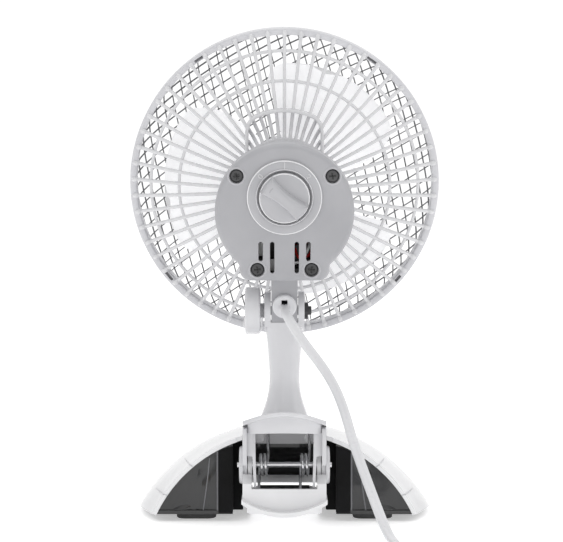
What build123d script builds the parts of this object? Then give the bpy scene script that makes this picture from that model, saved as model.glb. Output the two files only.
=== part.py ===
from build123d import *
import math
import os

# Six-inch desk fan with a clip base, in millimetres. +Z is up, the fan blows towards -Y and its
# controls face +Y. The head is drawn level about its own axis and then set at its tilt.

# Stance
PIVOT_Z = 113.5  # the tilt bolt above the desk
HEAD_TILT = 9.0  # degrees that the head looks up
AXIS_ABOVE_PIVOT = 66.0
PIVOT_BACK = 50.0  # the bolt behind the plane where the two guards meet
CENTRE_SHIFT_Y = 6.98  # puts the origin in the middle of the footprint

# Guards
GUARD_R = 90.0
RIM_INNER_R = 86.3
RIM_WALL = 1.6
RIM_DEPTH = 7.0
RIB_COUNT = 57
RIB_WIDTH = 2.0
RIB_DEPTH = 2.6
RIB_INNER_R = 27.0
RIB_OUTER_R = 88.8
DISH_R = 192.2  # the rear guard is part of a sphere
DISH_CENTRE_Y = -164.3
RING_RADII = (77.6, 61.0)
HUB_RING_R = 28.0
POCKET_Y = 24.5  # the rear guard is cut flat here for the motor housing
NET_COUNT = 30  # chords in the front net
NET_OFFSET = 30.0  # how far each chord passes from the axis
DOME_DEPTH = 34.0
BADGE_R = 19.0
LATCH_ANGLES = (35, 131, 231, 326)  # clockwise from the top, seen from behind
ARCH_HALF_WIDTH = 22.5
ARCH_TOP = 45.5

# Blades
TIP_R = 70.5
BLADE_COUNT = 3
BLADE_SPAN = 82.0  # degrees
BLADE_FIRST = 31.0  # middle of the first blade, clockwise from the top, seen from behind
BLADE_FRONT_Y = -14.0
BLADE_REAR_Y = 8.0
BLADE_THICK = 1.6
HUB_R = 17.5
SHAFT_R = 2.5
RUN_GAP = 0.05  # radial clearance of everything that turns on a pin

# Motor and housing
HOUSING_R = 38.6
HOUSING_DROP = 5.5  # the round part of the housing sits this far below the axis
HOUSING_STEP = 2.4  # the housing is this much smaller than its cover where they meet
HOUSING_TAPER = 5.2  # degrees that its wall leans in towards the guard
HOUSING_FRONT_Y = 24.6
GUARD_SCREW_R = 22.0
COVER_FRONT_Y = 63.0
COVER_BACK_Y = 74.0
TAB_HALF_WIDTH = 24.9
TAB_BOTTOM = -43.9
WALL = 2.2
KNOB_Z = 3.5
KNOB_R = 14.0
DIAL_R = 20.0
COVER_SCREWS = ((-26.4, 15.2), (26.4, 15.2), (-15.0, -37.3), (15.0, -37.3))
MOTOR_SCREW_X = 18.0
STATOR_Y = (34.0, 50.0)
ROTOR_R = 12.6

# Tilt joint and neck
TONGUE_HALF_WIDTH = 7.4
TONGUE_R = 11.0
EAR_INNER_X = 7.8
EAR_OUTER_X = 11.3
BOLT_R = 2.5
CORD_ABOVE_PIVOT = 5.3
TILT_KNOB_R = 13.5
TILT_KNOB_X = (13.6, 22.4)
NECK_FOOT_Z = 51.0

# Base
FLOOR_Z = 4.0
SHELL_WALL = 2.4
# stations of the arched shell from front to back: y, half width at the floor, height of the crown
SHELL_STATIONS = (
    (-72, 30, 17),
    (-62, 50, 29),
    (-44, 68, 40),
    (-20, 79, 47.5),
    (4, 82.5, 51),
    (24, 79, 51.5),
    (42, 73, 51),
)
TUNNEL_X = 28.5
PANEL_X = 30.5
NOTCH_X = 23.2

# Clip
PIN_Y = 40.0
PIN_Z = 31.2
PIN_R = 1.6
PIN_HALF = 26.0  # its riveted ends stand just clear of the caps
HANDLE_X = 22.7
HANDLE_BACK_Y = 68.0
ARM_X = (17.8, 20.0)
CHEEK_X = (20.3, 22.7)
SPRING_X = (14.0, -8.7)  # where each spring's lower leg is
SPRING_R = 5.6
SPRING_PITCH = 2.2
SPRING_LEGS = (35.0, 48.0)  # degrees of the lower and upper leg from level
SPRING_WIRE_R = 0.8
CAP_R = 10.4

# Cord
CORD_D = 5.0
# the hanging and lying stretch of the lead, from the bushing to the coil
CORD_ROUTE = (
    (0, 15.05, 116.48),
    (0, 25.0, 114.9),
    (-4.7, 31.8, 107),
    (-11.2, 34.8, 97.3),
    (-20, 37.5, 86.5),
    (-27.5, 41.7, 75),
    (-32.8, 47.5, 62),
    (-36.8, 55.5, 47.5),
    (-42, 65.5, 33),
    (-47, 79, 20),
    (-51.5, 95, 9),
    (-55, 113, 2.8),
    (-58.6, 131, 2.6),
    (-61.2, 148, 2.65),
    (-62.1, 168, 2.6),
    (-62.2, 189.5, 2.65),
)
COIL_CENTRE = (-24.3, 203.0)
COIL_R = 27.2  # to the middle of the turns
COIL_HALF_WIDTH = 13.4
COIL_HEIGHT = 10.8
PLUG_AT = (38.0, 205.0)
PLUG_SIZE = (24, 28, 14)
PLUG_PIN = (1.5, 17, 6.3)
PLUG_PIN_X = 6.35

os.makedirs("parts", exist_ok=True)


def box(x, y, z):
    """A box from three (low, high) pairs."""
    size = [b - a for a, b in (x, y, z)]
    return Pos(*[(a + b) / 2 for a, b in (x, y, z)]) * Box(*size)


def rod_x(r, x, y, z):
    return Pos(sum(x) / 2, y, z) * Rot(0, 90, 0) * Cylinder(r, x[1] - x[0])


def rod_y(r, y, x=0.0, z=0.0):
    return Pos(x, sum(y) / 2, z) * Rot(90, 0, 0) * Cylinder(r, y[1] - y[0])


def rod_z(r, z, x=0.0, y=0.0):
    return Pos(x, y, sum(z) / 2) * Cylinder(r, z[1] - z[0])


def ring_y(r, y):
    return rod_y(r[1], y) - rod_y(r[0], (y[0] - 1, y[1] + 1))


def prism_y(sketch, y):
    """Extrudes a sketch drawn in X and Z from y[0] to y[1]."""
    return extrude(Plane.XZ.offset(-y[1]) * sketch, amount=y[1] - y[0])


def prism_x(points, x):
    """Extrudes a polygon of (y, z) points from x[0] to x[1]."""
    face = make_face(Polyline(*points, close=True))
    return extrude(Plane.YZ.offset(x[0]) * face, amount=x[1] - x[0])


def mirrored(shape):
    return [shape, mirror(shape, Plane.YZ)]


def spin_y(shape, count, first=0.0):
    return [Rot(0, first + k * 360 / count, 0) * shape for k in range(count)]


def fuse(shapes):
    first, *rest = shapes
    return first.fuse(*rest) if rest else first


def clockwise(angle):
    """A turn about the fan's axis from the top, clockwise as seen from behind."""
    return Rot(0, -angle, 0)


def dish_y(r):
    return DISH_CENTRE_Y + math.sqrt(DISH_R**2 - r**2)


HEAD = Pos(0, CENTRE_SHIFT_Y, PIVOT_Z) * Rot(-HEAD_TILT, 0, 0) * Pos(0, -PIVOT_BACK, AXIS_ABOVE_PIVOT)
STAND = Pos(0, CENTRE_SHIFT_Y, 0)
nodes = {}


def keep(name, shape, place=STAND):
    """Puts a piece in place and writes it as its own node."""
    parts = shape if isinstance(shape, list) else [shape]
    solids = [s for p in parts for s in (place * p).solids()]
    nodes[name] = solids[0] if len(solids) == 1 else Compound(solids)
    export_step(nodes[name], f"parts/{name}.step")


# ---- guards ----


def latch(size, y, radius):
    tangential, radial = size
    one = box((-tangential / 2, tangential / 2), y, (radius - radial / 2, radius + radial / 2))
    return [clockwise(a) * one for a in LATCH_ANGLES]


def rear_guard():
    rim = ring_y((GUARD_R - RIM_WALL, GUARD_R), (0, RIM_DEPTH))
    rim += ring_y((RIM_INNER_R, GUARD_R), (RIM_DEPTH - 1.6, RIM_DEPTH))
    outer, inner = (
        make_face(
            Polyline((RIB_INNER_R, 0), (RIB_OUTER_R, 0), (RIB_OUTER_R, dish_y(RIB_OUTER_R) - drop))
            + ThreePointArc(
                (RIB_OUTER_R, dish_y(RIB_OUTER_R) - drop),
                (60, dish_y(60) - drop),
                (RIB_INNER_R, dish_y(RIB_INNER_R) - drop),
            )
            + Line((RIB_INNER_R, dish_y(RIB_INNER_R) - drop), (RIB_INNER_R, 0))
        )
        for drop in (0, RIB_DEPTH)
    )
    rib = extrude(outer - inner, amount=RIB_WIDTH / 2, both=True)
    body = fuse([rim, *spin_y(rib, RIB_COUNT, first=-90)])
    for r in RING_RADII:
        body += ring_y((r - 0.9, r + 0.9), (dish_y(r) - 2.0, dish_y(r) + 0.7))
    hub_y = dish_y(HUB_RING_R)
    body += rod_y(HUB_RING_R + 1.2, (hub_y - 4.6, hub_y - 1.0)) - rod_y(10.0, (0, 40))
    body += arch_bead()
    body -= fuse(latch((6.6, 1.8), (RIM_DEPTH - 4.2, RIM_DEPTH + 0.5), GUARD_R - 2.6))
    body -= prism_y(offset(housing_outline(), amount=0.4 - HOUSING_STEP), (POCKET_Y, 60))
    for angle in (60, 180, 300):
        body -= clockwise(angle) * rod_y(1.7, (0, 40), z=GUARD_SCREW_R)
    return body


def arch_bead():
    """The arched bead on the guard above the motor housing."""
    outline = Pos(0, ARCH_TOP - 16) * Rectangle(2 * ARCH_HALF_WIDTH, 32)
    outline = fillet(outline.vertices().sort_by(Axis.Y)[-2:], 10)
    bead = outline - offset(outline, amount=-2.2) - Pos(0, 11) * Rectangle(60, 34)
    y = dish_y(40)
    return prism_y(bead, (y - 4.0, y + 1.4))


def dome(rx, depth, y0):
    quarter = Line((0, y0), (rx, y0)) + Line((0, y0 - depth), (0, y0))
    arc = EllipticalCenterArc((0, y0), rx, depth, start_angle=-90, arc_size=90)
    return revolve(make_face(quarter + arc), axis=Axis.Y)


def front_guard():
    """A domed net of chords, which cross each other in diamonds."""
    shell = dome(89.0, DOME_DEPTH, -5.0) - dome(87.2, DOME_DEPTH - 1.8, -5.0)
    chord = box((-90, 90), (-60, -5.0), (NET_OFFSET - 0.8, NET_OFFSET + 0.8))
    net = fuse(spin_y(chord, NET_COUNT)) & shell
    net += shell & rod_y(NET_OFFSET + 1.0, (-60, -20)) - rod_y(BADGE_R - 3.0, (-60, -20))
    rim = ring_y((RIM_INNER_R, GUARD_R - RIM_WALL - 0.2), (-6.0, RIM_DEPTH - 4.0))
    rim += ring_y((RIM_INNER_R, GUARD_R), (-6.0, -0.2))
    tabs = fuse(latch((6.0, 1.2), (RIM_DEPTH - 4.1, RIM_DEPTH - 0.4), GUARD_R - 2.6))
    return fuse([net, rim, tabs])


def guard_badge():
    front = -5.0 - DOME_DEPTH
    disc = rod_y(BADGE_R - 3.2, (front + 0.6, front + 3.0))
    disc += rod_y(BADGE_R, (front - 1.6, front + 0.6))
    return fillet(disc.edges().filter_by(GeomType.CIRCLE).group_by(Axis.Y)[0], 1.2)


# ---- blades and motor ----


def blade_section(share):
    """A thin radial rectangle at this share of the blade's span."""
    angle = math.radians((share - 0.5) * BLADE_SPAN)
    y = BLADE_REAR_Y + (BLADE_FRONT_Y - BLADE_REAR_Y) * share
    mid = (HUB_R - 1.0 + TIP_R + 2) / 2
    out = Vector(-math.sin(angle), 0, math.cos(angle))
    plane = Plane(origin=out * mid + Vector(0, y, 0), x_dir=out, z_dir=out.cross(Vector(0, 1, 0)))
    return plane * Rectangle(TIP_R + 3 - HUB_R, BLADE_THICK)


def fan_blade():
    blade = loft([blade_section(k / 4) for k in range(5)])
    trim = Circle(TIP_R) - Circle(HUB_R - 1.5)
    half = BLADE_SPAN / 2
    corners = [(0, 0)] + [
        (200 * math.sin(math.radians(a)), 200 * math.cos(math.radians(a))) for a in (-half, 0, half)
    ]
    sector = trim & make_face(Polyline(*corners, close=True))
    outer = [v for v in sector.vertices() if Vector(v.X, v.Y).length > TIP_R - 1]
    sector = fillet(outer, 11)
    blade = blade & prism_y(sector, (-40, 40))
    hub = rod_y(HUB_R, (-13, 12)) - rod_y(HUB_R - 1.6, (-11.2, 13))
    hub = fillet(hub.edges().filter_by(GeomType.CIRCLE).group_by(Axis.Y)[0], 3)
    boss = rod_y(5.0, (-11.4, 11))
    blades = [clockwise(BLADE_FIRST + 120 * k) * blade for k in range(BLADE_COUNT)]
    return fuse([hub, boss, *blades]) - rod_y(SHAFT_R, (-30, 30))


def motor():
    keep("motor_shaft", rod_y(SHAFT_R, (-16.5, 61)), HEAD)
    keep("rotor_core", rod_y(ROTOR_R, (STATOR_Y[0] - 0.5, STATOR_Y[1] + 0.5)) - rod_y(SHAFT_R, (0, 80)), HEAD)
    nut = rod_y(6.5, (-20.5, -13)) - rod_y(SHAFT_R, (-16.5, 0))
    keep("blade_nut", fillet(nut.edges().group_by(Axis.Y)[0], 3.0), HEAD)

    core = box((-21.5, 21.5), STATOR_Y, (-26, 16)) + box((-16.5, 16.5), STATOR_Y, (-33, -26))
    core -= rod_y(ROTOR_R + 0.4, (0, 80)) + box((-11.5, 11.5), (0, 80), (-28, -18))
    for x in (-MOTOR_SCREW_X, MOTOR_SCREW_X):
        core -= rod_y(1.9, (0, 80), x=x)
    keep("stator_core", core, HEAD)
    leg = box((-12.5, 12.5), (STATOR_Y[0] - 1, STATOR_Y[1] + 1), (-34, -27))
    spool = box((-11.3, 11.3), (STATOR_Y[0] - 4, STATOR_Y[1] + 4), (-35.8, -18.5))
    slot = box((-14, 14), (STATOR_Y[0], STATOR_Y[1]), (-33, -28))
    flange_gap = box((-10.0, 10.0), (0, 80), (-60, 0)) - leg
    bobbin = spool - slot - flange_gap
    keep("coil_bobbin", bobbin, HEAD)
    winding = box((-10.0, 10.0), (STATOR_Y[0] - 3.5, STATOR_Y[1] + 3.5), (-35.4, -19.0)) - leg
    keep("stator_coil", winding, HEAD)

    for name, y, out in (("front", STATOR_Y[0], -1), ("rear", STATOR_Y[1], 1)):
        span = sorted((y + 4.5 * out, y + 6.5 * out))
        strap = box((-21.5, 21.5), span, (-7, 7))
        for x in (-MOTOR_SCREW_X, MOTOR_SCREW_X):
            foot = rod_y(4.0, sorted((y, y + 5 * out)), x=x)
            strap = strap + foot - rod_y(1.9, (0, 80), x=x)
        strap += rod_y(8.5, sorted((y + 3.0 * out, y + 10.0 * out)))
        keep(f"{name}_bracket", strap - rod_y(5.0, (0, 80)), HEAD)
        bush = rod_y(5.0, sorted((y + 3.0 * out, y + 9.5 * out)))
        keep(f"{name}_bush", bush - rod_y(SHAFT_R + RUN_GAP, (0, 80)), HEAD)
    screws = []
    seat = STATOR_Y[1] + 6.5
    for x in (-MOTOR_SCREW_X, MOTOR_SCREW_X):
        stem = rod_y(1.9, (STATOR_Y[0] - 7.0, seat), x=x)
        screws.append(stem + rod_y(3.2, (seat, seat + 2.1), x=x))
    keep("motor_screws", screws, HEAD)


# ---- housing and controls ----


def housing_outline():
    disc = Pos(0, -HOUSING_DROP) * Circle(HOUSING_R)
    tab = Pos(0, TAB_BOTTOM / 2) * Rectangle(2 * TAB_HALF_WIDTH, -TAB_BOTTOM)
    tab = fillet(tab.vertices().sort_by(Axis.Y)[:2], 6)
    shape = disc + tab
    corners = [
        v
        for v in shape.vertices()
        if abs(abs(v.X) - TAB_HALF_WIDTH) < 0.01 and TAB_BOTTOM + 7 < v.Y < TAB_BOTTOM + 12
    ]
    return fillet(corners, 4)


def tapered(inset, front_y):
    """The housing's body from front_y to the cover, leaning in towards the guard."""
    depth = COVER_FRONT_Y - front_y
    lean = depth * math.tan(math.radians(HOUSING_TAPER))
    rear_r = HOUSING_R - HOUSING_STEP - inset
    barrel = Rot(90, 0, 0) * Cone(rear_r, rear_r - lean, depth)
    tab = []
    for y, more in ((front_y, lean), (COVER_FRONT_Y, 0)):
        inward = HOUSING_STEP + inset + more
        half, low = TAB_HALF_WIDTH - inward, TAB_BOTTOM + inward
        tab.append(Plane.XZ.offset(-y) * Pos(0, low / 2) * Rectangle(2 * half, -low))
    return Pos(0, COVER_FRONT_Y - depth / 2, -HOUSING_DROP) * barrel + loft(tab, ruled=True)


def motor_housing():
    outer = tapered(0, HOUSING_FRONT_Y)
    shell = outer - tapered(WALL, HOUSING_FRONT_Y + WALL)
    flange = housing_outline()
    shell += prism_y(flange - offset(flange, amount=-HOUSING_STEP - WALL), (COVER_FRONT_Y - 1.6, COVER_FRONT_Y))
    for x, z in COVER_SCREWS:
        shell += rod_y(3.6, (HOUSING_FRONT_Y + 1, COVER_FRONT_Y), x=x, z=z) & outer
    pivot = -AXIS_ABOVE_PIVOT
    tongue = box(
        (-TONGUE_HALF_WIDTH, TONGUE_HALF_WIDTH),
        (PIVOT_BACK - TONGUE_R, PIVOT_BACK + TONGUE_R),
        (pivot, TAB_BOTTOM + 1),
    )
    tongue += rod_x(TONGUE_R, (-TONGUE_HALF_WIDTH, TONGUE_HALF_WIDTH), PIVOT_BACK, pivot)
    shell += tongue
    shell -= box((-5, 5), (PIVOT_BACK - 5, PIVOT_BACK + 8.5), (pivot + 5.0, TAB_BOTTOM + 5))
    shell -= rod_x(BOLT_R + RUN_GAP, (-20, 20), PIVOT_BACK, pivot)
    shell -= rod_y(5.0, (PIVOT_BACK + 7, PIVOT_BACK + 20), z=pivot + CORD_ABOVE_PIVOT)
    shell -= rod_y(10.0, (0, 40))
    for angle in (60, 180, 300):
        shell -= clockwise(angle) * rod_y(1.7, (0, 30), z=GUARD_SCREW_R)
    for x, z in COVER_SCREWS:
        shell -= rod_y(1.4, (COVER_FRONT_Y - 14, COVER_FRONT_Y + 1), x=x, z=z)
    return shell


def rear_cover():
    outline = housing_outline()
    cover = prism_y(outline, (COVER_FRONT_Y, COVER_BACK_Y))
    cover = fillet(cover.faces().sort_by(Axis.Y)[-1].edges(), 3.0)
    cover -= prism_y(offset(outline, amount=-WALL - 1), (COVER_FRONT_Y - 1, COVER_BACK_Y - WALL))
    cover += rod_y(DIAL_R, (COVER_BACK_Y - 1, COVER_BACK_Y + 1.0), z=KNOB_Z)
    cover -= rod_y(KNOB_R + 0.9, (COVER_BACK_Y - 0.6, COVER_BACK_Y + 2), z=KNOB_Z)
    for x, z in COVER_SCREWS:
        cover += rod_y(4.6, (COVER_FRONT_Y, COVER_BACK_Y - 1), x=x, z=z)
        cover -= rod_y(4.0, (COVER_BACK_Y - 2.4, COVER_BACK_Y + 1), x=x, z=z)
        cover -= rod_y(1.6, (0, 90), x=x, z=z)
    for x in (-13.2, 13.2):
        cover -= prism_y(Pos(x, KNOB_Z - 30.5) * SlotOverall(11, 2.5, rotation=90), (60, 90))
    for x in (-6.8, 6.8):
        cover -= prism_y(Pos(x, KNOB_Z - 33.9) * SlotOverall(17.8, 2.5, rotation=90), (60, 90))
    cover -= rod_y(4.2, (0, 90), z=KNOB_Z)
    return cover


def cross_screw(x, z, head_y):
    screw = rod_y(3.6, (head_y, head_y + 1.5), x=x, z=z)
    screw = fillet(screw.edges().group_by(Axis.Y)[-1], 0.8)
    screw -= box((x - 1.9, x + 1.9), (head_y + 0.6, head_y + 3), (z - 0.35, z + 0.35))
    screw -= box((x - 0.35, x + 0.35), (head_y + 0.6, head_y + 3), (z - 1.9, z + 1.9))
    return screw + rod_y(1.4, (head_y - 20, head_y), x=x, z=z)


def speed_knob():
    skirt = rod_y(KNOB_R, (COVER_BACK_Y - 0.3, COVER_BACK_Y + 4.0))
    skirt = fillet(skirt.edges().group_by(Axis.Y)[-1], 1.2)
    waisted = ThreePointArc((4.2, -13.2), (3.0, 0), (4.2, 13.2))
    side = make_face(waisted + Polyline((4.2, 13.2), (0, 13.2), (0, -13.2), (4.2, -13.2)))
    grip = prism_y(side + mirror(side, Plane.YZ), (COVER_BACK_Y + 3, COVER_BACK_Y + 12))
    knob = skirt + (grip & rod_y(KNOB_R - 0.6, (0, 99)))
    knob -= box((-0.5, 0.5), (COVER_BACK_Y + 11.4, COVER_BACK_Y + 13), (7.0, 12.4))
    stem = rod_y(3.0, (COVER_BACK_Y - 9, COVER_BACK_Y))
    return Pos(0, 0, KNOB_Z) * clockwise(-52) * (knob + stem)


def rotary_switch():
    body = box((-11, 11), (COVER_BACK_Y - 13, COVER_BACK_Y - 4.4), (KNOB_Z - 10, KNOB_Z + 10))
    body += rod_y(4.0, (COVER_BACK_Y - 5, COVER_BACK_Y - 1), z=KNOB_Z)
    for x in (-6, 0, 6):
        body += box((x - 1.2, x + 1.2), (COVER_BACK_Y - 12, COVER_BACK_Y - 11.2), (KNOB_Z - 16, KNOB_Z - 9))
    return body - rod_y(3.0 + RUN_GAP, (COVER_BACK_Y - 9.2, 90), z=KNOB_Z)


def lead(points, r):
    """A short internal wire along straight runs with small bends."""
    path = FilletPolyline(*points, radius=2.0)
    return sweep((path ^ 0) * Circle(r), path=path)


def controls():
    keep("rear_cover", rear_cover(), HEAD)
    keep("cover_screws", [cross_screw(x, z, COVER_BACK_Y - 2.4) for x, z in COVER_SCREWS], HEAD)
    keep("speed_knob", speed_knob(), HEAD)
    keep("rotary_switch", rotary_switch(), HEAD)
    connector = box((-9.6, -5.0), (COVER_BACK_Y - 12.5, COVER_BACK_Y - 8.5), (-35.5, -25))
    keep("wire_connector", connector, HEAD)
    keep("lead_red", lead(((-6.2, 63.5, -25), (-6.2, 63.5, -18), (-5.6, 62.6, -13.4)), 0.7), HEAD)
    keep("lead_black", lead(((-8.4, 63.5, -25), (-8.4, 63.5, -17), (-10, 63.5, -10)), 0.7), HEAD)
    screws = []
    for angle in (60, 180, 300):
        seat = dish_y(HUB_RING_R) - 4.6
        pan = rod_y(3.0, (seat - 1.6, seat), z=GUARD_SCREW_R)
        screws.append(clockwise(angle) * (pan + rod_y(1.7, (seat, 29), z=GUARD_SCREW_R)))
    keep("guard_screws", screws, HEAD)


def cord_bushing():
    z = -AXIS_ABOVE_PIVOT + CORD_ABOVE_PIVOT
    face = PIVOT_BACK + TONGUE_R
    body = rod_y(6.8, (face, face + 3.4), z=z)
    body = fillet(body.edges().group_by(Axis.Y)[-1], 1.2)
    body += rod_y(5.0, (face - 2.5, face), z=z)
    return body - box((-1.7, 1.7), (0, 99), (z - 3.9, z + 3.9))


# ---- tilt joint, neck and base ----


def tilt_knob():
    knob = rod_x(TILT_KNOB_R, TILT_KNOB_X, 0, PIVOT_Z)
    knob = fillet(knob.edges().filter_by(GeomType.CIRCLE), 1.4)
    flute = rod_x(1.3, (TILT_KNOB_X[0] - 1, TILT_KNOB_X[1] + 1), 0, TILT_KNOB_R + 0.7)
    for k in range(14):
        knob -= Pos(0, 0, PIVOT_Z) * Rot(k * 360 / 14, 0, 0) * flute
    return knob + rod_x(4.2, (EAR_OUTER_X + 0.3, TILT_KNOB_X[0] + 1), 0, PIVOT_Z)


def neck(saddle):
    """Fork at the top, oval column, flared foot, all one moulding."""
    column = loft([
        Pos(0, 0, NECK_FOOT_Z - 4) * RectangleRounded(29, 30, 11.5),
        Pos(0, 0, NECK_FOOT_Z) * RectangleRounded(28, 29, 11),
        Pos(0, 0, 57) * RectangleRounded(24, 25.5, 9.5),
        Pos(0, 0, 66) * RectangleRounded(18.8, 21.5, 8.4),
        Pos(0, 0, 82) * RectangleRounded(17.6, 19.6, 8.0),
        Pos(0, 0, 96) * RectangleRounded(19.6, 19.0, 7.0),
        Pos(0, 0, 105) * RectangleRounded(22.6, 19.0, 5.0),
    ])
    fork = box((-EAR_OUTER_X, EAR_OUTER_X), (-9.5, 9.5), (104.9, PIVOT_Z))
    fork += rod_x(TONGUE_R, (-EAR_OUTER_X, EAR_OUTER_X), 0, PIVOT_Z)
    body = column + fork - saddle
    gap = (-EAR_INNER_X, EAR_INNER_X)
    body -= rod_x(TONGUE_R + 0.3, gap, 0, PIVOT_Z) + box(gap, (-20, 20), (PIVOT_Z, PIVOT_Z + 20))
    body -= rod_x(BOLT_R + RUN_GAP, (-20, 20), 0, PIVOT_Z)
    for x in (-6, 6):
        body -= rod_z(1.5, (NECK_FOOT_Z - 1, NECK_FOOT_Z + 9), x=x)
    return body


def tilt_nut():
    hexagon = RegularPolygon(4.6, 6, major_radius=False)
    nut = extrude(Plane.YZ.offset(-EAR_OUTER_X - 2.0) * hexagon, amount=2.0)
    return Pos(0, 0, PIVOT_Z) * nut - rod_x(BOLT_R + RUN_GAP, (-20, 20), 0, PIVOT_Z)


def arch(half_width, crown, drop=0.0):
    """The solid cross-section of the base: an arch on a flat floor, drawn in X and Z."""
    w, top = half_width - drop, crown - drop
    low = Line((-w, FLOOR_Z), (w, FLOOR_Z))
    return make_face(low + ThreePointArc((w, FLOOR_Z), (0, top), (-w, FLOOR_Z)))


def base_solid(drop=0.0):
    """The arched base, lofted through its stations, with every station drawn in by drop."""
    solid = loft([Plane.XZ.offset(-y) * arch(w, top, drop) for y, w, top in SHELL_STATIONS])
    if drop:
        nose = SHELL_STATIONS[0][0]
        solid -= box((-99, 99), (nose - 1, nose + drop), (0, 99))
    return solid


def base_shell(outer, inner):
    shell = outer - inner
    shell -= box((-NOTCH_X, NOTCH_X), (16, 99), (0, 99))
    return shell - rod_z(1.5, (0, 99), x=-6) - rod_z(1.5, (0, 99), x=6)


def base_inner(inner):
    """Black body inside the arch: floor plates, tunnel walls, ceiling and glossy rear panels."""
    back = SHELL_STATIONS[-1][0]
    pieces = []
    for s in (-1, 1):
        wing = tuple(sorted((s * TUNNEL_X, s * 99)))
        pieces.append(box(wing, (-68, back), (FLOOR_Z, FLOOR_Z + 2)))
        pieces.append(box(tuple(sorted((s * PANEL_X, s * 99))), (back - 4, back - 2), (FLOOR_Z, 60)))
        pieces.append(box(tuple(sorted((s * TUNNEL_X, s * PANEL_X))), (-50, back), (FLOOR_Z, 60)))
    pieces.append(box((-PANEL_X, PANEL_X), (-50, -48), (FLOOR_Z + 8, 60)))
    pieces.append(box((-PANEL_X, PANEL_X), (-50, 16.3), (37.5, 39.5)))
    pieces.append(box((-PANEL_X, PANEL_X), (13.9, 16.3), (37.5, 60)))
    for x in (-6, 6):
        pieces.append(rod_z(3.6, (39, 60), x=x))
    body = fuse(pieces) & inner
    for x in (-6, 6):
        body -= rod_z(1.5, (0, 60), x=x)
    for x in (-14, 14):
        body -= rod_y(1.4, (0, 20), x=x, z=43.5)
    return body


def ray_point(length, angle):
    """A point at this distance from the clip's pin, at this angle above the line to the back."""
    a = math.radians(angle)
    return (PIN_Y + length * math.cos(a), PIN_Z + length * math.sin(a))


def handle_envelope(drop=0.0):
    """The space under the bowed top of the upper grip, rising towards the back."""
    faces = []
    for y, mid, end in ((16.4, 53.6, 50.9), (HANDLE_BACK_Y, 63.9, 58.2)):
        arc = ThreePointArc((-HANDLE_X, end - drop), (0, mid - drop), (HANDLE_X, end - drop))
        rest = Polyline((HANDLE_X, end - drop), (HANDLE_X, 10), (-HANDLE_X, 10), (-HANDLE_X, end - drop))
        faces.append(Plane.XZ.offset(-y) * make_face(arc + rest))
    return loft(faces, ruled=True)


def upper_handle():
    """Fixed grip: a bowed plate with a rear lip, a rear wall and two cheeks round the pin."""
    envelope = handle_envelope()
    top = envelope - handle_envelope(2.2)
    top -= box((-99, 99), (10, 99), (9, 45))
    wall = box((-20.4, 20.4), (59, 61.5), (52.5, 70))
    front_wall = box((-HANDLE_X, HANDLE_X), (16.4, 18.8), (40, 70))
    outline = [
        (16.4, 40),
        (16.4, 70),
        (61.5, 70),
        (61.5, ray_point(22, 7)[1]),
        ray_point(9, 7),
        (PIN_Y, PIN_Z - 9),
        (PIN_Y - 9, PIN_Z),
    ]
    cheek = prism_x(outline, CHEEK_X)
    cheek += rod_x(9.6, CHEEK_X, PIN_Y, PIN_Z)
    rib = prism_x([(50, 70), (60, 70), (60, 45), (56, 24), (52.5, 24), (50, 40)], (15.4, 17.2))
    inside = fuse([wall, front_wall, *mirrored(cheek), *mirrored(rib)]) & envelope
    shape = top + inside
    for x in (-14, 14):
        shape -= rod_y(1.4, (0, 20), x=x, z=43.5)
    return shape - rod_x(PIN_R, (-40, 40), PIN_Y, PIN_Z)


def lower_jaw():
    """Moving lever: jaw plate in front, arms on the pin, bowed grip behind."""
    plate = box((-19, 19), (-66, 24), (0.9, 3.1))
    plate = fillet(plate.edges().filter_by(Axis.Z).group_by(Axis.Y)[0], 10)
    ramp = prism_x([(20, 0.9), (24, 0.9), (62, 7.6), (62, 9.8), (24, 3.1), (20, 3.1)], (-19, 19))
    low = ThreePointArc((-23.2, 13.8), (0, 6.6), (23.2, 13.8))
    high = ThreePointArc((-23.2, 15.8), (0, 9.0), (23.2, 15.8))
    sides = Line((-23.2, 13.8), (-23.2, 15.8)) + Line((23.2, 13.8), (23.2, 15.8))
    lip = prism_y(make_face(low + high + sides), (46, HANDLE_BACK_Y))
    wall = box((-20.2, 20.2), (59, 61.5), (8, 21))
    arm = prism_x([(22, 1.5), (46, 6.5), ray_point(9, -60), ray_point(9, 60), ray_point(9, 180)], ARM_X)
    arm += rod_x(9.0, ARM_X, PIN_Y, PIN_Z)
    outline = [
        (46, 12),
        (61.5, 12),
        (61.5, ray_point(22.6, -19)[1]),
        ray_point(11.5, -19),
        ray_point(11.5, -60),
    ]
    side = prism_x(outline, (ARM_X[0], CHEEK_X[1]))
    shape = fuse([plate, ramp, lip, wall, *mirrored(arm), *mirrored(side)])
    return shape - rod_x(PIN_R + RUN_GAP, (-40, 40), PIN_Y, PIN_Z)


def rod(start, end, r):
    along = Vector(*end) - Vector(*start)
    return extrude(Plane(origin=start, z_dir=along) * Circle(r), amount=along.length)


def clip_spring(x):
    """A torsion spring round the pin, with one leg under each grip."""
    low, high = (math.radians(a) for a in SPRING_LEGS)
    turns = 2.5 - (low + high) / math.tau
    helix = Helix(SPRING_PITCH, turns * SPRING_PITCH, SPRING_R, lefthand=True)
    coil = sweep((helix ^ 0) * Circle(SPRING_WIRE_R), path=helix, is_frenet=True)
    coil = Rot(-SPRING_LEGS[0], 0, 0) * Rot(0, 90, 0) * coil
    for side, angle, at, length in ((-1, low, 0, 25.5), (1, high, turns * SPRING_PITCH, 28.5)):
        start = (at, -SPRING_R * math.sin(angle), side * SPRING_R * math.cos(angle))
        end = (at, start[1] + length * math.cos(angle), start[2] + side * length * math.sin(angle))
        coil += rod(start, end, SPRING_WIRE_R)
    return Pos(x, PIN_Y, PIN_Z) * mirror(coil, Plane.YZ)


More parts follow.
